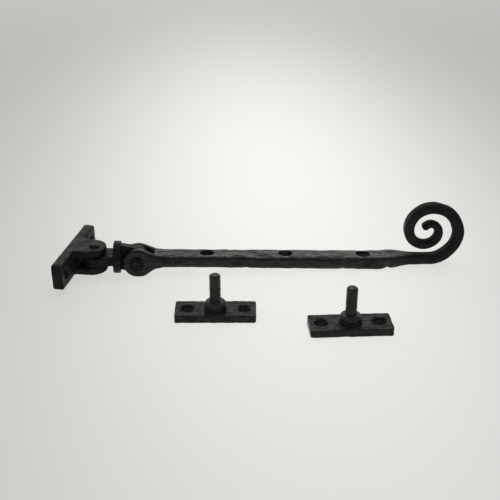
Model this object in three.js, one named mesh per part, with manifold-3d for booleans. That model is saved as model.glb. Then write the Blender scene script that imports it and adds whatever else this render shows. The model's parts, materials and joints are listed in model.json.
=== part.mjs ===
// Casement window stay: a bracket for the sash, a two-way knuckle, a forked arm with three peg holes
// and a rolled "monkey tail" end, and two peg plates for the sill.
// Millimetres, +Z up, +X along the arm from the bracket to the rolled end. The set lies on a flat surface.

import * as THREE from 'three';
import Module from 'manifold-3d';
import { mergeVertices } from 'three/addons/utils/BufferGeometryUtils.js';

const wasm = await Module();
wasm.setup();

// ---------------------------------------------------------------- driving dimensions

const CLEARANCE = 0.3;            // running gap between any two pieces
const ROUND_SEGMENTS = 28;        // sides of a turned piece or a round hole
const DOME_STEPS = 4;
const STRAIGHT_STEPS = 16;        // sections along the arm's bar and round its rolled end
const CURL_STEPS = 42;
const THROUGH = 40;               // longer than any hole is deep

// Sash bracket: a plate screwed to the sash, with two ears that hold the swing pin
const BRACKET_LENGTH = 65.5;
const BRACKET_HEIGHT = 17.2;
const BRACKET_THICKNESS = 6.6;
const BRACKET_SETBACK = 18.4;     // from the swing pin's axis to the plate's back face
const BRACKET_LIFT = 4.0;         // plate's lower edge above the surface it lies on
const BRACKET_TURN = -12.6;       // degrees: how far the bracket is swung round at rest
const BRACKET_CORNER = 2;
const BRACKET_SCREW_OFFSET = 24;
const EAR_ROOT_WIDTH = 21;
const EAR_TIP_RADIUS = 9.8;
const EAR_OFFSET = -2.2;          // the ears' round ends are not quite centred on the pin
const UPPER_EAR = 4.4;
const LOWER_EAR = 5.0;
const EAR_OVERLAP = 1;            // how far the ears' roots run into the plate

// Pins
const PIN_DIAMETER = 6;
const SWING_HEAD_DIAMETER = 7.4;
const SWING_HEAD_HEIGHT = 1.3;
const SWING_HEAD_RIM = 0.4;       // upright part of the head, below its dome
const TAIL_FLARE = 0.9;           // how much a peened end is wider than its shank, per side
const LIFT_FLARE = 0.7;
const LIFT_END = 0.25;            // how far the lift pin's ends stand out of their washers
const PIN_ROUNDING = 0.3;
const WASHER_DIAMETER = 10;
const WASHER_THICKNESS = 1.3;
const WASHER_CHAMFER = 0.4;

// Knuckle: a flat eye on the swing pin, a round collar, and an upright tongue in the arm's fork
const EYE_RADIUS = 9;
const EYE_THICKNESS = 6.3;
const EYE_HEIGHT = 12.55;         // height of the eye's middle
const NECK_WIDTH = 14;
const COLLAR_RADIUS = 11;
const COLLAR_HEIGHT = 12.7;       // height of the collar's middle
const COLLAR_START = 12.6;
const COLLAR_END = 17.2;
const COLLAR_TILT = 2.5;          // degrees that the collar leans towards the arm
const TONGUE_THICKNESS = 5.6;
const TONGUE_RADIUS = 8.7;
const TONGUE_TOP = 22.7;          // heights of the tongue's edges where it leaves the collar
const TONGUE_BOTTOM = 4.9;
const TONGUE_SHOULDER = 10.8;     // the tongue's top edge above the lift pin
const TONGUE_CORNER_X = 7.5;      // where that edge rounds over, beyond the lift pin
const TONGUE_CORNER_ANGLE = 25;
const LIFT_PIN_X = 27.8;
const LIFT_PIN_Z = 9.4;

// Arm, in its own frame: the lift pin is the origin and +X runs towards the rolled end
const CHEEK_RADIUS = 10.1;
const CHEEK_OFFSET_X = 1.2;       // the fork's round end is not quite centred on its pin
const CHEEK_OFFSET_Z = 0.75;
const CHEEK_END_ANGLE = 58;       // where the cheek's round end sweeps out into the bar
const FORK_WIDTH = 13.0;
const SLOT_END = 12.0;
const FORK_BLEND = 17.0;          // where the fork has narrowed to the bar
const BLEND_REACH = 4;            // length of that sweep's pull
const BAR_WIDTH = 13.6;
const BAR_THICKNESS = 8.4;
const BAR_END_WIDTH = 14.6;       // the bar spreads a little before it is drawn down to the rod
const BAR_END_THICKNESS = 8.8;
const BAR_RISE = 1.8;             // the bar's middle above the lift pin
const BAR_SHIFT = 0.5;            // the bar's middle beyond the fork's
const HOLE_FIRST = 48.1;
const HOLE_PITCH = 54.3;
const HOLE_COUNT = 3;
const HOLE_LENGTH = 9.6;
const HOLE_WIDTH = 7.8;
const HOLE_SHIFT = 0.9;           // the holes' middle beyond the fork's
const NARROW_START = 170;
const NARROW_END = 191;
const ROD_WIDTH = 8.4;
const ROD_THICKNESS = 7.4;
const ROD_RISE = 1.6;             // the rod's middle above the bar's
const REST_X = 173;               // where the bar's underside meets the surface it lies on

// Rolled end: a spiral strip that turns up, back and in
const CURL_X = 201.0;
const CURL_RADIUS = 20.8;         // centreline radius where the strip stands upright
const CURL_TUCK = 1.1;            // the radius is this much smaller where the strip starts to turn up
const CURL_PITCH = 3.6;           // radius lost in the first quarter turn after that
const CURL_EASE = 0.07;           // and how the loss slackens towards the tip
const CURL_END_ANGLE = 481;       // degrees from the +X direction, anticlockwise seen from the front
const CURL_DRIFT_X = -1.1;        // the hand-rolled turns drift off centre by this much in all
const CURL_DRIFT_Z = 2.0;
const CURL_DRIFT_FROM = 0.1;      // fractions of its length between which it drifts upwards
const CURL_DRIFT_TO = 0.4;
const CURL_THICKNESS = 8.2;       // the strip thickens again as it turns up
const CURL_THICK_BY = 0.3;        // fraction of its length by which it has
const CURL_TIP_WIDTH = 6;
const CURL_TIP_THICKNESS = 5.2;
const CURL_TIP_RADIUS = 2.8;      // the strip's end is a small round roll

// Peg plates
const PEG_LENGTH = 50.8;
const PEG_WIDTH = 18.2;
const PEG_THICKNESS = 5.1;
const PEG_CORNER = 1.5;
const PEG_SCREW_OFFSET = 18;
const PEG_BOSS_DIAMETER = 14;
const PEG_BOSS_HEIGHT = 2.6;
const PEG_BOSS_BEVEL = 0.5;
const PEG_COLLAR_DIAMETER = 12.9;
const PEG_COLLAR_HEIGHT = 2.8;
const PEG_COLLAR_BEVEL = 1.1;
const PEG_PIN_DIAMETER = 6.8;
const PEG_PIN_TOP = 29.2;
const PEG_PIN_BEVEL = 0.8;
const PEG_SPIGOT_DIAMETER = 5;
const PEGS = [
    { name: 'peg_1', x: 80.5, y: -59.5, turn: -3.2 },
    { name: 'peg_2', x: 162.2, y: -80.0, turn: -0.6 },
];

const SCREW_HOLE = 4.6;
const SCREW_HEAD = 8.4;           // mouth of the countersink

const IRON = { color: 0x1d1e1d, roughness: 0.55, metalness: 0.35 };
const IRON_WORN = { color: 0x242524, roughness: 0.5, metalness: 0.45 };

// ---------------------------------------------------------------- solids

// A closed three.js geometry as a solid that can be joined and cut
function solid(geometry) {
    const bare = geometry.clone();
    bare.deleteAttribute('normal');
    bare.deleteAttribute('uv');
    const merged = mergeVertices(bare, 1e-4);
    const corners = merged.index.array;
    const kept = [];
    for (let i = 0; i < corners.length; i += 3) {
        const [a, b, c] = [corners[i], corners[i + 1], corners[i + 2]];
        if (a !== b && b !== c && c !== a) {
            kept.push(a, b, c);
        }
    }
    const vertProperties = new Float32Array(merged.attributes.position.array);
    const build = (triVerts) => new wasm.Manifold(new wasm.Mesh({ numProp: 3, vertProperties, triVerts }));
    const body = build(new Uint32Array(kept));
    return body.volume() > 0 ? body : build(new Uint32Array(kept).reverse());
}

function namedMesh(name, body, finish) {
    const mesh = body.getMesh();
    const geometry = new THREE.BufferGeometry();
    geometry.setAttribute('position', new THREE.BufferAttribute(new Float32Array(mesh.vertProperties), 3));
    geometry.setIndex(new THREE.BufferAttribute(new Uint32Array(mesh.triVerts), 1));
    geometry.computeVertexNormals();
    const piece = new THREE.Mesh(geometry, new THREE.MeshStandardMaterial(finish));
    piece.name = name;
    return piece;
}

// A plan outline (x, y) between two heights
function slab(outline, low, high) {
    const depth = high - low;
    const geometry = new THREE.ExtrudeGeometry(outline, { depth, bevelEnabled: false, curveSegments: 10 });
    return solid(geometry.translate(0, 0, low));
}

// A side outline (x, z) of a given width, centred on y = 0
function sideSlab(outline, width) {
    const geometry = new THREE.ExtrudeGeometry(outline, {
        depth: width, bevelEnabled: false, curveSegments: 10,
    });
    return solid(geometry.rotateX(Math.PI / 2).translate(0, width / 2, 0));
}

// A profile of [radius, height] pairs turned about the Z axis
function turned(profile) {
    const points = profile.map(([radius, height]) => new THREE.Vector2(radius, height));
    return new THREE.LatheGeometry(points, ROUND_SEGMENTS).rotateX(Math.PI / 2);
}

function cylinder(radius, low, high) {
    return turned([[0, low], [radius, low], [radius, high], [0, high]]);
}

// A through hole with a countersink, its mouth at height 0 and its far end below
function screwHole(thickness) {
    const hole = SCREW_HOLE / 2;
    const mouth = SCREW_HEAD / 2;
    const sink = mouth - hole;
    return turned([
        [0, -2 * thickness], [hole, -2 * thickness], [hole, -sink], [mouth, 0], [mouth, sink], [0, sink],
    ]);
}

function roundedRectangle(length, width, corner) {
    const [x, y] = [length / 2, width / 2];
    const shape = new THREE.Shape();
    shape.moveTo(-x + corner, -y);
    shape.lineTo(x - corner, -y);
    shape.quadraticCurveTo(x, -y, x, -y + corner);
    shape.lineTo(x, y - corner);
    shape.quadraticCurveTo(x, y, x - corner, y);
    shape.lineTo(-x + corner, y);
    shape.quadraticCurveTo(-x, y, -x, y - corner);
    shape.lineTo(-x, -y + corner);
    shape.quadraticCurveTo(-x, -y, -x + corner, -y);
    return shape;
}

// A round end about the origin, with straight sides that run back to a root at x
function tongueOutline(radius, rootX, rootWidth) {
    const side = Math.sign(rootX);
    const half = rootWidth / 2;
    const shape = new THREE.Shape();
    shape.moveTo(rootX, -side * half);
    shape.lineTo(rootX, side * half);
    shape.absarc(0, 0, radius, side * Math.PI / 2, -side * Math.PI / 2, false);
    return shape;
}

// ---------------------------------------------------------------- sash bracket and swing pin

const plateLow = BRACKET_LIFT;
const plateHigh = BRACKET_LIFT + BRACKET_HEIGHT;

function sashBracket() {
    const inner = -BRACKET_SETBACK + BRACKET_THICKNESS;
    const face = roundedRectangle(BRACKET_LENGTH, BRACKET_HEIGHT, BRACKET_CORNER);
    const plate = new THREE.ExtrudeGeometry(face, {
        depth: BRACKET_THICKNESS, bevelEnabled: false, curveSegments: 4,
    });
    plate.rotateX(Math.PI / 2).rotateZ(Math.PI / 2);
    plate.translate(-BRACKET_SETBACK, 0, (plateLow + plateHigh) / 2);
    const ear = tongueOutline(EAR_TIP_RADIUS, inner - EAR_OVERLAP - EAR_OFFSET, EAR_ROOT_WIDTH);
    const upperEar = slab(ear, plateHigh - UPPER_EAR, plateHigh);
    const lowerEar = slab(ear, plateLow, plateLow + LOWER_EAR);
    let body = solid(plate);
    body = body.add(upperEar.add(lowerEar).translate([EAR_OFFSET, 0, 0]));
    const bore = PIN_DIAMETER / 2 + CLEARANCE;
    body = body.subtract(solid(turned([
        [0, 0], [bore + TAIL_FLARE, 0], [bore + TAIL_FLARE, plateLow], [bore, plateLow + TAIL_FLARE],
        [bore, 2 * plateHigh], [0, 2 * plateHigh],
    ])));
    for (const side of [-1, 1]) {
        const hole = screwHole(BRACKET_THICKNESS).rotateY(Math.PI / 2);
        hole.translate(inner, side * BRACKET_SCREW_OFFSET, (plateLow + plateHigh) / 2);
        body = body.subtract(solid(hole));
    }
    return namedMesh('sash_bracket', body, IRON);
}

// The pin is peened over a domed head on top and into a countersink below
function swingPin() {
    const shank = PIN_DIAMETER / 2;
    const head = SWING_HEAD_DIAMETER / 2;
    const seat = plateHigh + CLEARANCE;
    const rim = seat + SWING_HEAD_RIM;
    const dome = [];
    for (let step = 0; step < DOME_STEPS; step += 1) {
        const angle = (step / DOME_STEPS) * Math.PI / 2;
        dome.push([head * Math.cos(angle), rim + (SWING_HEAD_HEIGHT - SWING_HEAD_RIM) * Math.sin(angle)]);
    }
    dome.push([0, seat + SWING_HEAD_HEIGHT]);
    const tail = plateLow + CLEARANCE / 2;
    return namedMesh('swing_pin', solid(turned([
        [0, tail], [shank + TAIL_FLARE, tail], [shank, tail + TAIL_FLARE], [shank, seat], [head, seat], ...dome,
    ])), IRON_WORN);
}

// ---------------------------------------------------------------- knuckle and lift pin

function knuckle() {
    const middle = (COLLAR_START + COLLAR_END) / 2;
    const halfCollar = (COLLAR_END - COLLAR_START) / 2;
    const collar = cylinder(COLLAR_RADIUS, -halfCollar, halfCollar);
    collar.rotateY(Math.PI / 2 + THREE.MathUtils.degToRad(COLLAR_TILT)).translate(middle, 0, COLLAR_HEIGHT);
    const eyeLow = EYE_HEIGHT - EYE_THICKNESS / 2;
    const eye = slab(tongueOutline(EYE_RADIUS, middle, NECK_WIDTH), eyeLow, eyeLow + EYE_THICKNESS);
    const tongue = new THREE.Shape();
    const cornerAngle = THREE.MathUtils.degToRad(TONGUE_CORNER_ANGLE);
    const shoulder = LIFT_PIN_Z + TONGUE_SHOULDER;
    tongue.moveTo(middle, TONGUE_TOP);
    tongue.lineTo(middle, TONGUE_BOTTOM);
    tongue.absarc(LIFT_PIN_X, LIFT_PIN_Z, TONGUE_RADIUS, -Math.PI / 2, cornerAngle, false);
    tongue.quadraticCurveTo(LIFT_PIN_X + TONGUE_CORNER_X, shoulder, LIFT_PIN_X, shoulder);
    let body = solid(collar).add(eye).add(sideSlab(tongue, TONGUE_THICKNESS));
    body = body.subtract(solid(cylinder(PIN_DIAMETER / 2 + CLEARANCE, 0, THROUGH)));
    const liftBore = cylinder(PIN_DIAMETER / 2 + CLEARANCE, -TONGUE_THICKNESS, TONGUE_THICKNESS);
    body = body.subtract(solid(liftBore.rotateX(Math.PI / 2).translate(LIFT_PIN_X, 0, LIFT_PIN_Z)));
    return namedMesh('knuckle', body, IRON);
}

// The lift pin's ends are peened into the countersunk bores of its two washers
const washerInner = FORK_WIDTH / 2 + CLEARANCE;
const washerOuter = washerInner + WASHER_THICKNESS;

function liftPin() {
    const shank = PIN_DIAMETER / 2;
    const flare = shank + LIFT_FLARE;
    const face = flare - PIN_ROUNDING;
    const end = washerOuter + LIFT_END;
    const seat = washerInner + PIN_ROUNDING;
    const half = [[shank, seat], [flare, end - PIN_ROUNDING], [face, end], [0, end]];
    const mirrored = half.map(([radius, height]) => [radius, -height]).reverse();
    return namedMesh('lift_pin', solid(turned([...mirrored, ...half]).rotateX(Math.PI / 2)), IRON_WORN);
}

function liftPinWasher(name, side) {
    const bore = PIN_DIAMETER / 2 + CLEARANCE;
    const rim = WASHER_DIAMETER / 2;
    const profile = [
        [bore, washerInner], [rim, washerInner], [rim, washerOuter - WASHER_CHAMFER],
        [rim - WASHER_CHAMFER, washerOuter], [bore + TAIL_FLARE, washerOuter],
        [bore, washerInner + WASHER_CHAMFER], [bore, washerInner],
    ];
    return namedMesh(name, solid(turned(profile).rotateX(-side * Math.PI / 2)), IRON);
}

// ---------------------------------------------------------------- arm

// Where the arm's strip runs: the position, direction and section at each station
function armStations() {
    const stations = [];
    const start = (SLOT_END + FORK_BLEND) / 2;
    for (let step = 0; step < STRAIGHT_STEPS; step += 1) {
        const x = THREE.MathUtils.lerp(start, CURL_X, step / STRAIGHT_STEPS);
        const spread = THREE.MathUtils.smoothstep(x, start, NARROW_START);
        const narrowing = THREE.MathUtils.smoothstep(x, NARROW_START, NARROW_END);
        const width = THREE.MathUtils.lerp(BAR_WIDTH, BAR_END_WIDTH, spread);
        const thickness = THREE.MathUtils.lerp(BAR_THICKNESS, BAR_END_THICKNESS, spread);
        stations.push({
            x, z: BAR_RISE + ROD_RISE * narrowing, angle: 0,
            width: THREE.MathUtils.lerp(width, ROD_WIDTH, narrowing),
            thickness: THREE.MathUtils.lerp(thickness, ROD_THICKNESS, narrowing),
        });
    }
    const curlZ = BAR_RISE + ROD_RISE + CURL_RADIUS - CURL_TUCK;
    for (let step = 0; step <= CURL_STEPS; step += 1) {
        const along = step / CURL_STEPS;
        const degrees = THREE.MathUtils.lerp(-90, CURL_END_ANGLE, along);
        const angle = THREE.MathUtils.degToRad(degrees);
        const quarter = degrees / 90;
        const loss = quarter < 0 ? CURL_TUCK * quarter : CURL_PITCH - CURL_EASE * quarter;
        const radius = CURL_RADIUS - loss * quarter;
        const drift = THREE.MathUtils.smoothstep(along, 0, 1);
        const lift = THREE.MathUtils.smoothstep(along, CURL_DRIFT_FROM, CURL_DRIFT_TO);
        const thickening = THREE.MathUtils.smoothstep(along, 0, CURL_THICK_BY);
        const thickness = THREE.MathUtils.lerp(ROD_THICKNESS, CURL_THICKNESS, thickening);
        stations.push({
            x: CURL_X + CURL_DRIFT_X * drift + radius * Math.cos(angle),
            z: curlZ + CURL_DRIFT_Z * lift + radius * Math.sin(angle),
            angle: angle + Math.PI / 2,
            width: THREE.MathUtils.lerp(ROD_WIDTH, CURL_TIP_WIDTH, along),
            thickness: THREE.MathUtils.lerp(thickness, CURL_TIP_THICKNESS, along),
        });
    }
    return stations;
}

// One chamfered bar, bent and tapered through the stations
function armStrip(stations) {
    const steps = stations.length - 1;
    const section = roundedRectangle(1, 1, 0.2);
    const strip = new THREE.ExtrudeGeometry(section, {
        depth: steps, steps, bevelEnabled: false, curveSegments: 2,
    });
    const points = strip.attributes.position;
    for (let i = 0; i < points.count; i += 1) {
        const station = stations[Math.round(points.getZ(i))];
        const across = points.getX(i) * station.width;
        const up = points.getY(i) * station.thickness;
        points.setXYZ(
            i,
            station.x - up * Math.sin(station.angle),
            BAR_SHIFT + across,
            station.z + up * Math.cos(station.angle),
        );
    }
    return solid(strip);
}

// The fork seen from the side: a round end that sweeps into the bar
function forkOutline() {
    const [cx, cz, r] = [CHEEK_OFFSET_X, CHEEK_OFFSET_Z, CHEEK_RADIUS];
    const barTop = BAR_RISE + BAR_THICKNESS / 2;
    const barBottom = BAR_RISE - BAR_THICKNESS / 2;
    const leave = THREE.MathUtils.degToRad(CHEEK_END_ANGLE);
    const pull = FORK_BLEND - BLEND_REACH;
    const shape = new THREE.Shape();
    shape.moveTo(FORK_BLEND, barTop);
    shape.quadraticCurveTo(pull, barTop, cx + r * Math.cos(leave), cz + r * Math.sin(leave));
    shape.absarc(cx, cz, r, leave, 2 * Math.PI - leave, false);
    shape.quadraticCurveTo(pull, barBottom, FORK_BLEND, barBottom);
    return shape;
}

function pegHole(x) {
    const straight = HOLE_LENGTH - HOLE_WIDTH;
    const radius = HOLE_WIDTH / 2;
    const shape = new THREE.Shape();
    shape.absarc(x + straight / 2, HOLE_SHIFT, radius, -Math.PI / 2, Math.PI / 2, false);
    shape.absarc(x - straight / 2, HOLE_SHIFT, radius, Math.PI / 2, 1.5 * Math.PI, false);
    return slab(shape, -THROUGH, THROUGH);
}

function stayArm() {
    const slotWidth = TONGUE_THICKNESS + 2 * CLEARANCE;
    const slot = new THREE.BoxGeometry(2 * SLOT_END, slotWidth, THROUGH);
    const stations = armStations();
    const end = stations[stations.length - 1];
    const tip = cylinder(CURL_TIP_RADIUS, -CURL_TIP_WIDTH / 2, CURL_TIP_WIDTH / 2).rotateX(Math.PI / 2);
    let body = armStrip(stations).add(sideSlab(forkOutline(), FORK_WIDTH));
    body = body.add(solid(tip.translate(end.x, BAR_SHIFT, end.z)));
    body = body.subtract(solid(slot));
    const bore = cylinder(PIN_DIAMETER / 2 + CLEARANCE, -FORK_WIDTH, FORK_WIDTH).rotateX(Math.PI / 2);
    body = body.subtract(solid(bore));
    for (let hole = 0; hole < HOLE_COUNT; hole += 1) {
        body = body.subtract(pegHole(HOLE_FIRST + hole * HOLE_PITCH));
    }
    return namedMesh('stay_arm', body, IRON);
}

// ---------------------------------------------------------------- peg plates

function pegPlate(name) {
    const half = PEG_BOSS_DIAMETER / 2;
    const bossTop = PEG_THICKNESS + PEG_BOSS_HEIGHT;
    let body = slab(roundedRectangle(PEG_LENGTH, PEG_WIDTH, PEG_CORNER), 0, PEG_THICKNESS);
    body = body.add(solid(turned([
        [0, TAIL_FLARE], [half, TAIL_FLARE], [half, bossTop - PEG_BOSS_BEVEL],
        [half - PEG_BOSS_BEVEL, bossTop], [0, bossTop],
    ])));
    const bore = PEG_SPIGOT_DIAMETER / 2 + CLEARANCE;
    body = body.subtract(solid(turned([
        [0, -TAIL_FLARE], [bore + 2 * TAIL_FLARE, -TAIL_FLARE], [bore, TAIL_FLARE], [bore, 2 * bossTop],
        [0, 2 * bossTop],
    ])));
    for (const side of [-1, 1]) {
        const hole = screwHole(PEG_THICKNESS).translate(side * PEG_SCREW_OFFSET, 0, PEG_THICKNESS);
        body = body.subtract(solid(hole));
    }
    return namedMesh(name, body, IRON);
}

// A shouldered pin: its spigot goes through the plate and is peened below
function pegPin(name) {
    const [spigot, pin, collar] = [PEG_SPIGOT_DIAMETER / 2, PEG_PIN_DIAMETER / 2, PEG_COLLAR_DIAMETER / 2];
    const tail = CLEARANCE / 2;
    const seat = PEG_THICKNESS + PEG_BOSS_HEIGHT + CLEARANCE;
    const shoulder = seat + PEG_COLLAR_HEIGHT;
    return namedMesh(name, solid(turned([
        [0, tail], [spigot + TAIL_FLARE, tail], [spigot, tail + TAIL_FLARE], [spigot, seat], [collar, seat],
        [collar, shoulder - PEG_COLLAR_BEVEL], [collar - PEG_COLLAR_BEVEL, shoulder], [pin, shoulder],
        [pin, PEG_PIN_TOP - PEG_PIN_BEVEL], [pin - PEG_PIN_BEVEL, PEG_PIN_TOP], [0, PEG_PIN_TOP],
    ])), IRON_WORN);
}

// ---------------------------------------------------------------- assembly

const stay = new THREE.Group();

const bracket = new THREE.Group();
bracket.rotation.z = THREE.MathUtils.degToRad(BRACKET_TURN);
bracket.add(sashBracket(), swingPin());
stay.add(bracket, knuckle());

// The bar's far end rests on the surface, so the arm dips a little from its pin
const tailDrop = LIFT_PIN_Z + BAR_RISE - BAR_END_THICKNESS / 2;
const arm = new THREE.Group();
arm.position.set(LIFT_PIN_X, 0, LIFT_PIN_Z);
arm.rotation.y = Math.asin(tailDrop / REST_X);
arm.add(stayArm(), liftPin(), liftPinWasher('lift_pin_washer_near', -1));
arm.add(liftPinWasher('lift_pin_washer_far', 1));
stay.add(arm);

for (const peg of PEGS) {
    const group = new THREE.Group();
    group.position.set(peg.x, peg.y, 0);
    group.rotation.z = THREE.MathUtils.degToRad(peg.turn);
    group.add(pegPlate(`${peg.name}_plate`), pegPin(`${peg.name}_pin`));
    stay.add(group);
}

// The origin is the middle of the whole set's footprint, on the surface it lies on
stay.updateMatrixWorld(true);
const bounds = new THREE.Box3().setFromObject(stay, true);
const centre = bounds.getCenter(new THREE.Vector3());
stay.position.set(-centre.x, -centre.y, -bounds.min.z);

export default stay;
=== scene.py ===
# Looks of the casement window stay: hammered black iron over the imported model, in metres.
import json
import math

import bmesh
import bpy
import numpy as np
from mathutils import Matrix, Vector, noise


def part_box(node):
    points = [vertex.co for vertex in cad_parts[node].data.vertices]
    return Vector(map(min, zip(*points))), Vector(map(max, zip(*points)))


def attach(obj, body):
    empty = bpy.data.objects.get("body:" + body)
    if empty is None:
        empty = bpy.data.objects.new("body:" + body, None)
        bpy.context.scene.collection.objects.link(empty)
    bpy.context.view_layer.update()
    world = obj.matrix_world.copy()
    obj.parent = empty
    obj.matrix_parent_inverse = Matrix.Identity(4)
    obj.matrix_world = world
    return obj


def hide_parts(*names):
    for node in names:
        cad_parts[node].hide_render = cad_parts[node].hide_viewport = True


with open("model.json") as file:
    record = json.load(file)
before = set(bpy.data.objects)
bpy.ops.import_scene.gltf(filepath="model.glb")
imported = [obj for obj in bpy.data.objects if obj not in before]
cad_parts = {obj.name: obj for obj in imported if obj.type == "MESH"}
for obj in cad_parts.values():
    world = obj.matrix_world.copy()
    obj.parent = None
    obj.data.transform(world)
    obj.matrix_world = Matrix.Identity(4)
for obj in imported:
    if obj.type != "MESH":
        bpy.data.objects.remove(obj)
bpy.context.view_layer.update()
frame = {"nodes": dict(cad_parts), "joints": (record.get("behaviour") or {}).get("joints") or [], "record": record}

MM = 0.001
scene = bpy.context.scene
record = frame["record"]
body_of = {node: body for body, nodes in record["behaviour"]["bodies"].items() for node in nodes}

# ------------------------------------------------------------------ camera and light

CAMERA_AIM = Vector((-6.95, 56.4, 0.0)) * MM     # the point of the floor in the middle of the frame
CAMERA_DISTANCE = 584.4 * MM
CAMERA_ELEVATION = 27.0                          # degrees above the floor
CAMERA_AZIMUTH = 3.35                            # degrees that the view turns from +Y towards +X
CAMERA_LENS = 57.6                               # in millimetres, as is the sensor
CAMERA_SENSOR = 36.0
CAMERA_CLIP = (0.01, 20.0)
ROOM_FRONT = 0.16                                # the room is dim in front of the set
ROOM_BEHIND = 0.45                               # and lighter behind it
ROOM_BLEND = (-0.6, 0.9)                         # the directions along Y between which it changes
ROOM_TINT = (0.96, 1.0, 0.96)
SOFTBOX_AIM = Vector((0.0, 0.0, 0.0))
SOFTBOXES = [
    # name, place, size, watts
    ("overhead", (0.05, 0.15, 1.0), (0.7, 0.6), 2.5),
    ("behind", (0.0, 1.3, 0.49), (1.7, 0.54), 5.4),
]


def view_direction(azimuth, elevation):
    """The way a camera looks, level at 0 elevation and along +Y at 0 azimuth."""
    a, e = math.radians(azimuth), math.radians(elevation)
    return Vector((math.sin(a) * math.cos(e), math.cos(a) * math.cos(e), -math.sin(e)))


def add_camera():
    look = view_direction(CAMERA_AZIMUTH, CAMERA_ELEVATION)
    data = bpy.data.cameras.new("camera")
    data.lens = CAMERA_LENS
    data.sensor_width = CAMERA_SENSOR
    data.clip_start, data.clip_end = CAMERA_CLIP
    camera = bpy.data.objects.new("camera", data)
    camera.location = CAMERA_AIM - look * CAMERA_DISTANCE
    camera.rotation_euler = look.to_track_quat("-Z", "Y").to_euler()
    scene.collection.objects.link(camera)
    scene.camera = camera


def add_softbox(name, place, size, watts):
    """A rectangular lamp that faces the set."""
    data = bpy.data.lights.new(name, "AREA")
    data.shape = "RECTANGLE"
    data.size, data.size_y = size
    data.energy = watts
    data.color = ROOM_TINT
    lamp = bpy.data.objects.new(name, data)
    lamp.location = place
    lamp.rotation_euler = (SOFTBOX_AIM - Vector(place)).to_track_quat("-Z", "Y").to_euler()
    scene.collection.objects.link(lamp)


def add_light():
    world = bpy.data.worlds.new("studio")
    world.use_nodes = True
    sky = world.node_tree.nodes["Background"]
    sky.inputs["Color"].default_value = (*ROOM_TINT, 1.0)
    way = world.node_tree.nodes.new("ShaderNodeSeparateXYZ")
    direction = world.node_tree.nodes.new("ShaderNodeTexCoord")
    world.node_tree.links.new(direction.outputs["Generated"], way.inputs["Vector"])
    glow = remap(world.node_tree, way.outputs["Y"], *ROOM_BLEND, ROOM_FRONT, ROOM_BEHIND)
    world.node_tree.links.new(glow, sky.inputs["Strength"])
    scene.world = world
    for softbox in SOFTBOXES:
        add_softbox(*softbox)
    scene.view_settings.view_transform = "Standard"
    scene.view_settings.look = "None"


# ------------------------------------------------------------------ materials

def node_of(tree, kind, **values):
    """A new node, with each value set on its property of that name or else on its socket."""
    node = tree.nodes.new(kind)
    for key, value in values.items():
        if hasattr(node, key):
            setattr(node, key, value)
        else:
            node.inputs[key].default_value = value
    return node


NOISE_DETAIL = 3.0
NOISE_ROUGHNESS = 0.6


def add_noise(tree, place, size, stretch=1.0):
    """Cloudy noise with features of about that size, drawn out along X by the stretch."""
    squeeze = node_of(tree, "ShaderNodeMapping")
    squeeze.inputs["Scale"].default_value = (1.0 / (size * stretch), 1.0 / size, 1.0 / size)
    tree.links.new(place, squeeze.inputs["Vector"])
    cloud = node_of(tree, "ShaderNodeTexNoise", Scale=1.0, Detail=NOISE_DETAIL, Roughness=NOISE_ROUGHNESS)
    tree.links.new(squeeze.outputs["Vector"], cloud.inputs["Vector"])
    return cloud.outputs["Fac"]


def add_bump(tree, height, distance, strength, before=None):
    bump = node_of(tree, "ShaderNodeBump", Strength=strength, Distance=distance)
    tree.links.new(height, bump.inputs["Height"])
    if before is not None:
        tree.links.new(before, bump.inputs["Normal"])
    return bump.outputs["Normal"]


def remap(tree, value, low, high, to_low, to_high, clamp=True):
    node = node_of(tree, "ShaderNodeMapRange", clamp=clamp)
    for key, number in (("From Min", low), ("From Max", high), ("To Min", to_low), ("To Max", to_high)):
        node.inputs[key].default_value = number
    tree.links.new(value, node.inputs["Value"])
    return node.outputs["Result"]


MOTTLE_SIZE = 8.0 * MM            # how large the patches of gloss are
MOTTLE_STOPS = (0.3, 0.7)         # the noise levels at which the gloss is highest and lowest
GLOSS_SPREAD = 0.1                # and how far the roughness strays in them
GRAIN_SIZE = 1.0 * MM
GRAIN_DEPTH = 0.3 * MM
GRAIN_STRENGTH = 0.6
SKIN_DEPTH = 0.6                  # how deep the skin is, as a share of its size
TONE_STOPS = (0.35, 0.68)         # the noise levels at which the colour is darkest and lightest
RUB_FROM, RUB_TO = 0.53, 0.62     # how sharp an edge is where it starts to be rubbed and where it is most
RUB_MOST = 0.45
RUB_GAIN = (2.4, 2.4, 2.35)       # how much lighter rubbed iron is
DULLING = 0.45                    # how much rougher the dull part of a piece is
DULL_BLEND = 14.0 * MM            # and how far the change takes


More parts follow.
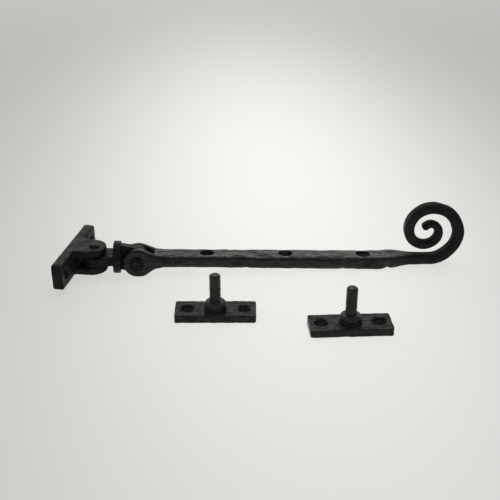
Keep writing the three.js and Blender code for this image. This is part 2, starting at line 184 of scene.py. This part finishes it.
def iron_material(name, dark, light, roughness, specular, skin, skin_size, stretch=1.0, dull_from=None):
    """Satin black iron with mottled colour, uneven gloss and skin, and rubbed edges.

    Past dull_from along X it is duller.
    """
    material = bpy.data.materials.new(name)
    material.use_nodes = True
    tree = material.node_tree
    link = tree.links.new
    shader = tree.nodes["Principled BSDF"]
    shader.inputs["Metallic"].default_value = 0.0
    shader.inputs["Specular IOR Level"].default_value = specular
    place = tree.nodes.new("ShaderNodeTexCoord").outputs["Object"]
    cloud = add_noise(tree, place, MOTTLE_SIZE, stretch)
    patches = add_noise(tree, place, skin_size, stretch)
    grain = add_noise(tree, place, GRAIN_SIZE)

    tone = node_of(tree, "ShaderNodeValToRGB")
    for stop, position, colour in zip(tone.color_ramp.elements, TONE_STOPS, (dark, light)):
        stop.position = position
        stop.color = (*colour, 1.0)
    link(patches, tone.inputs["Fac"])
    edge = node_of(tree, "ShaderNodeNewGeometry")
    rub = remap(tree, edge.outputs["Pointiness"], RUB_FROM, RUB_TO, 0.0, RUB_MOST)
    worn = node_of(tree, "ShaderNodeMix", data_type="RGBA")
    worn.inputs["B"].default_value = (*(part * gain for part, gain in zip(light, RUB_GAIN)), 1.0)
    link(rub, worn.inputs["Factor"])
    link(tone.outputs["Color"], worn.inputs["A"])
    link(worn.outputs["Result"], shader.inputs["Base Color"])

    gloss = remap(tree, cloud, *MOTTLE_STOPS, roughness - GLOSS_SPREAD, roughness + GLOSS_SPREAD)
    if dull_from is not None:
        along = node_of(tree, "ShaderNodeSeparateXYZ")
        link(place, along.inputs["Vector"])
        dulling = node_of(tree, "ShaderNodeMath", operation="ADD")
        link(gloss, dulling.inputs[0])
        extra = remap(tree, along.outputs["X"], dull_from, dull_from + DULL_BLEND, 0.0, DULLING)
        link(extra, dulling.inputs[1])
        gloss = dulling.outputs["Value"]
    link(gloss, shader.inputs["Roughness"])
    uneven = add_bump(tree, patches, skin_size * SKIN_DEPTH, skin)
    link(add_bump(tree, grain, GRAIN_DEPTH, GRAIN_STRENGTH, uneven), shader.inputs["Normal"])
    return material


# The floor's painted light: the floor glows by itself, brightest in a painted pool of light round the peak.
FLOOR_PAINTED_LIGHT_PEAK = (0.025, 0.19)        # where the painted pool of light on the floor is brightest
FLOOR_PAINTED_LIGHT_FALL = (12.0, 1.5)          # how fast the painted light falls off along X and along Y, per square metre
FLOOR_PAINTED_GLOW = 0.80
FLOOR_PAINTED_GLOW_LEAST = 0.36
FLOOR_TINT = (1.0, 1.005, 0.965)
FLOOR_COLOUR = (0.22, 0.22, 0.213)
FLOOR_ROUGHNESS = 0.7
FLOOR_HALF = 4.0                  # half the floor's side


def painted_glow_floor_material():
    """A pale sweep with a painted glow of its own, brightest in a painted pool of light, so that the set's shadows
    on it stay faint.
    """
    material = bpy.data.materials.new("pale_floor_painted_glow")
    material.use_nodes = True
    tree = material.node_tree
    link = tree.links.new
    place = tree.nodes.new("ShaderNodeTexCoord").outputs["Object"]
    shift = node_of(tree, "ShaderNodeMapping")
    scale_x, scale_y = (math.sqrt(fall_off) for fall_off in FLOOR_PAINTED_LIGHT_FALL)
    shift.inputs["Location"].default_value = (-FLOOR_PAINTED_LIGHT_PEAK[0] * scale_x, -FLOOR_PAINTED_LIGHT_PEAK[1] * scale_y, 0.0)
    shift.inputs["Scale"].default_value = (scale_x, scale_y, 1.0)
    link(place, shift.inputs["Vector"])
    fall = node_of(tree, "ShaderNodeVectorMath", operation="DOT_PRODUCT")
    link(shift.outputs["Vector"], fall.inputs[0])
    link(shift.outputs["Vector"], fall.inputs[1])
    spread = remap(tree, fall.outputs["Value"], 0.0, FLOOR_PAINTED_GLOW - FLOOR_PAINTED_GLOW_LEAST, 0.0, -1.0, clamp=False)
    bell = node_of(tree, "ShaderNodeMath", operation="EXPONENT")
    link(spread, bell.inputs[0])
    glow = remap(tree, bell.outputs["Value"], 0.0, 1.0, FLOOR_PAINTED_GLOW_LEAST, FLOOR_PAINTED_GLOW)
    shader = tree.nodes["Principled BSDF"]
    shader.inputs["Base Color"].default_value = (*FLOOR_COLOUR, 1.0)
    shader.inputs["Roughness"].default_value = FLOOR_ROUGHNESS
    shader.inputs["Specular IOR Level"].default_value = 0.0
    shader.inputs["Emission Color"].default_value = (*FLOOR_TINT, 1.0)
    # painted light: the floor's own glow, strongest in the middle of the painted pool
    link(glow, shader.inputs["Emission Strength"])
    return material


# ------------------------------------------------------------------ detailed pieces

WELD = 0.002 * MM                 # corners closer than this are one
RELAX_PULL = 0.5                  # how far a vertex goes towards its neighbours' middle in one pass
WAVE_SHIFT = (17.3, 5.1, 9.7)     # each seed looks at another place in the noise
DENT_SHIFT = (11.9, 3.3, 7.7)
DENT_REACH = 0.75                 # a hammer mark is at full height this far out, in mark sizes
SKIN_SIZE = 1.0 * MM


def clean_copy(name, node):
    """The node's mesh as a new object with its split corners joined again."""
    data = frame["nodes"][node].data.copy()
    data.materials.clear()
    edit = bmesh.new()
    edit.from_mesh(data)
    bmesh.ops.remove_doubles(edit, verts=edit.verts, dist=WELD)
    edit.to_mesh(data)
    edit.free()
    piece = bpy.data.objects.new(name, data)
    scene.collection.objects.link(piece)
    return piece


def remesh(piece, voxel):
    """An even skin of small quads."""
    skin = piece.modifiers.new("skin", "REMESH")
    skin.mode = "VOXEL"
    skin.voxel_size = voxel
    graph = bpy.context.evaluated_depsgraph_get()
    data = bpy.data.meshes.new_from_object(piece.evaluated_get(graph))
    piece.modifiers.clear()
    old = piece.data
    piece.data = data
    bpy.data.meshes.remove(old)


def read_points(data):
    points = np.empty(len(data.vertices) * 3)
    data.vertices.foreach_get("co", points)
    return points.reshape(-1, 3)


def read_normals(data):
    normals = np.empty(len(data.vertices) * 3)
    data.vertex_normals.foreach_get("vector", normals)
    return normals.reshape(-1, 3)


def write_points(data, points):
    data.vertices.foreach_set("co", points.ravel())
    data.update()


def relax(data, passes, weight=1.0):
    """Pulls every vertex towards its neighbours' middle, which rounds the edges off."""
    edges = np.empty(len(data.edges) * 2, dtype=np.int32)
    data.edges.foreach_get("vertices", edges)
    a, b = edges.reshape(-1, 2).T
    points = read_points(data)
    count = len(points)
    degree = np.bincount(a, minlength=count) + np.bincount(b, minlength=count)
    pull = (RELAX_PULL * np.broadcast_to(weight, count))[:, None]
    for _ in range(passes):
        total = np.empty_like(points)
        for axis in range(3):
            line = points[:, axis]
            total[:, axis] = np.bincount(a, line[b], count) + np.bincount(b, line[a], count)
        points += pull * (total / degree[:, None] - points)
    write_points(data, points)


def smoothstep(value, low, high):
    t = np.clip((value - low) / (high - low), 0.0, 1.0)
    return t * t * (3.0 - 2.0 * t)


def wave(points, size, seed):
    """Smooth noise from -1 to 1 with features of about that size."""
    shift = Vector([seed * step for step in WAVE_SHIFT])
    return np.array([noise.noise(Vector(p) / size + shift) for p in points])


def dents(points, size, seed):
    """Shallow hammer marks: low in the middle of each mark, high on the ridges between them."""
    shift = Vector([seed * step for step in DENT_SHIFT])
    near = np.array([noise.voronoi(Vector(p) / size + shift)[0][0] for p in points])
    marks = np.clip(near / DENT_REACH, 0.0, 1.0)
    return marks - marks.mean()


def hammer(data, seed, regain=0.1, wobble=0.16, wobble_size=12.0, mark=0.2, mark_size=7.0, skin=0.03):
    """Moves the surface along its normals.

    All the values but the seed are in millimetres. regain makes up for what the smoothing took off.
    """
    points, normals = read_points(data), read_normals(data)
    height = regain + wobble * wave(points, wobble_size * MM, seed)
    height += mark * dents(points, mark_size * MM, seed)
    height += skin * wave(points, SKIN_SIZE, seed)
    points += normals * (height * MM)[:, None]
    points[:, 2] = np.maximum(points[:, 2], 0.0)      # nothing sinks into the surface it lies on
    write_points(data, points)


# ------------------------------------------------------------------ the arm's own marks

ARM_DIP = math.radians(2.25)
ARM_MIDDLE = (0.5, 1.8)           # the bar's middle across and up from the lift pin, in millimetres
NEAR_EDGE = (-6.6, -2.6)          # the near lower edge, and the far top one
FAR_TOP_EDGE = (7.4, 6.2)
ARM_MARKS = [
    # distance from the lift pin, half length, edge, depth (a swelling is negative), reach, in millimetres
    (61.0, 2.5, FAR_TOP_EDGE, -0.5, 3.0),
    (75.0, 2.0, NEAR_EDGE, 0.55, 3.0),
    (142.0, 2.0, NEAR_EDGE, 0.45, 3.0),
    (167.5, 3.0, NEAR_EDGE, -0.2, 4.0),
    (176.0, 9.0, FAR_TOP_EDGE, -1.1, 5.0),
    (173.5, 1.7, NEAR_EDGE, 1.2, 4.5),
]
ROUND_FROM, ROUND_TO = 174.0, 194.0          # how far out the bar turns into the round rod
ROUND_PASSES = 44


def arm_places(points):
    """How far along, across and up each point is from the lift pin, in millimetres."""
    pin = next(joint["pos_m"] for joint in frame["joints"] if joint["name"] == "lift")
    offset = (points - np.array(pin)) / MM
    along = offset[:, 0] * math.cos(ARM_DIP) - offset[:, 2] * math.sin(ARM_DIP)
    up = offset[:, 0] * math.sin(ARM_DIP) + offset[:, 2] * math.cos(ARM_DIP)
    return along, offset[:, 1], up


def round_curl(data):
    """The rod and the roll are forged round; the bar stays flat."""
    along, _, _ = arm_places(read_points(data))
    relax(data, ROUND_PASSES, smoothstep(along, ROUND_FROM, ROUND_TO))


def mark_arm(data):
    points = read_points(data)
    along, across, up = arm_places(points)
    inward = np.stack([np.zeros(len(points)), ARM_MIDDLE[0] - across, ARM_MIDDLE[1] - up], axis=1)
    inward /= np.maximum(np.linalg.norm(inward, axis=1), 1.0)[:, None]
    for place, half, edge, depth, reach in ARM_MARKS:
        beside = np.hypot(across - edge[0], up - edge[1])
        share = np.exp(-((along - place) / half) ** 2 - (beside / reach) ** 2)
        points += inward * (depth * MM * share)[:, None]
    write_points(data, points)


# ------------------------------------------------------------------ the peg plates' screw holes

PEG_TURN = {"peg_1_plate": -3.2, "peg_2_plate": -0.6}      # degrees
PEG_TOP = 4.0                     # the plate's top face is above this height, in millimetres
PEG_TOP_BLEND = 2.0               # and the dish fades out this far below it
SCREW_OFFSET = 18.0
DISH_RADIUS = 5.6                 # a shallow dish round each countersink
DISH_FLOOR = 0.55                 # the share of its radius that is full depth
DISH_DEPTH = 0.8


def dish_screw_holes(data, node):
    low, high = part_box(node)
    turn = math.radians(PEG_TURN[node])
    points = read_points(data)
    for side in (-1.0, 1.0):
        offset = np.array((math.cos(turn), math.sin(turn))) * side * SCREW_OFFSET * MM
        middle = np.array(((low.x + high.x) / 2, (low.y + high.y) / 2)) + offset
        away = np.linalg.norm(points[:, :2] - middle, axis=1) / MM
        share = 1.0 - smoothstep(away, DISH_RADIUS * DISH_FLOOR, DISH_RADIUS)
        on_top = smoothstep(points[:, 2] / MM, PEG_TOP - PEG_TOP_BLEND, PEG_TOP)
        points[:, 2] -= DISH_DEPTH * MM * share * on_top
    write_points(data, points)


# ------------------------------------------------------------------ pieces

forged = iron_material(
    "forged_black", dark=(0.003, 0.0035, 0.0031), light=(0.010, 0.0113, 0.0102), roughness=0.35,
    specular=0.29, skin=0.75, skin_size=6.0 * MM, stretch=1.4, dull_from=92.0 * MM,
)
cast = iron_material(
    "cast_black", dark=(0.011, 0.0123, 0.0112), light=(0.021, 0.0232, 0.0213), roughness=0.4,
    specular=0.06, skin=0.6, skin_size=4.0 * MM, stretch=1.3,
)
glossy = iron_material(
    "glossy_black", dark=(0.014, 0.0156, 0.0143), light=(0.027, 0.0297, 0.0274), roughness=0.16,
    specular=0.085, skin=1.0, skin_size=3.0 * MM, stretch=1.7,
)
turned = iron_material(
    "turned_black", dark=(0.02, 0.022, 0.0202), light=(0.04, 0.0435, 0.0405), roughness=0.26,
    specular=0.16, skin=1.0, skin_size=2.2 * MM,
)

VOXEL = 0.4 * MM
FINE_VOXEL = 0.6 * VOXEL

ARM_HAMMERING = dict(regain=0.15, wobble=0.3, wobble_size=10.0, mark=0.3, mark_size=9.0)
KNUCKLE_HAMMERING = dict(wobble=0.1, mark=0.12, mark_size=5.0)
BRACKET_HAMMERING = dict(regain=0.3, wobble=0.15, mark=0.15)
PLATE_HAMMERING = dict(regain=0.07, wobble=0.22, wobble_size=4.5, mark=0.15)
SWING_PIN_HAMMERING = dict(regain=0.05, wobble=0.05, wobble_size=3.0, mark=0.05, mark_size=2.5)
LIFT_PIN_HAMMERING = dict(regain=0.05, wobble=0.04, wobble_size=3.0, mark=0.04, mark_size=2.5)
WASHER_HAMMERING = dict(regain=0.05, wobble=0.04, mark=0.03, mark_size=2.5)
PEG_PIN_HAMMERING = dict(wobble=0.06, wobble_size=6.0, mark=0.12, mark_size=2.5)

PIECES = [
    # node, material, voxel, smoothing passes, seed, hammering
    ("stay_arm", forged, VOXEL, 6, 1, ARM_HAMMERING),
    ("knuckle", cast, VOXEL, 3, 2, KNUCKLE_HAMMERING),
    ("sash_bracket", cast, VOXEL, 14, 3, BRACKET_HAMMERING),
    ("peg_1_plate", glossy, FINE_VOXEL, 4, 4, PLATE_HAMMERING),
    ("peg_2_plate", glossy, FINE_VOXEL, 4, 5, PLATE_HAMMERING),
    ("swing_pin", cast, FINE_VOXEL, 3, 6, SWING_PIN_HAMMERING),
    ("lift_pin", cast, FINE_VOXEL, 2, 7, LIFT_PIN_HAMMERING),
    ("lift_pin_washer_near", cast, FINE_VOXEL, 2, 8, WASHER_HAMMERING),
    ("lift_pin_washer_far", cast, FINE_VOXEL, 2, 9, WASHER_HAMMERING),
    ("peg_1_pin", turned, FINE_VOXEL, 4, 10, PEG_PIN_HAMMERING),
    ("peg_2_pin", turned, FINE_VOXEL, 4, 11, PEG_PIN_HAMMERING),
]


def add_pieces():
    for node, material, voxel, passes, seed, hammering in PIECES:
        piece = clean_copy(node + "_iron", node)
        remesh(piece, voxel)
        relax(piece.data, passes)
        if node == "stay_arm":
            round_curl(piece.data)
            mark_arm(piece.data)
        if node in PEG_TURN:
            dish_screw_holes(piece.data, node)
        hammer(piece.data, seed, **hammering)
        piece.data.materials.append(material)
        for polygon in piece.data.polygons:
            polygon.use_smooth = True
        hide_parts(node)
        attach(piece, body_of[node])


def add_floor():
    corners = [(x * FLOOR_HALF, y * FLOOR_HALF, 0.0) for x, y in ((-1, -1), (1, -1), (1, 1), (-1, 1))]
    data = bpy.data.meshes.new("floor")
    data.from_pydata(corners, [], [(0, 1, 2, 3)])
    floor = bpy.data.objects.new("floor", data)
    data.materials.append(painted_glow_floor_material())
    scene.collection.objects.link(floor)


add_camera()
add_light()
add_pieces()
add_floor()
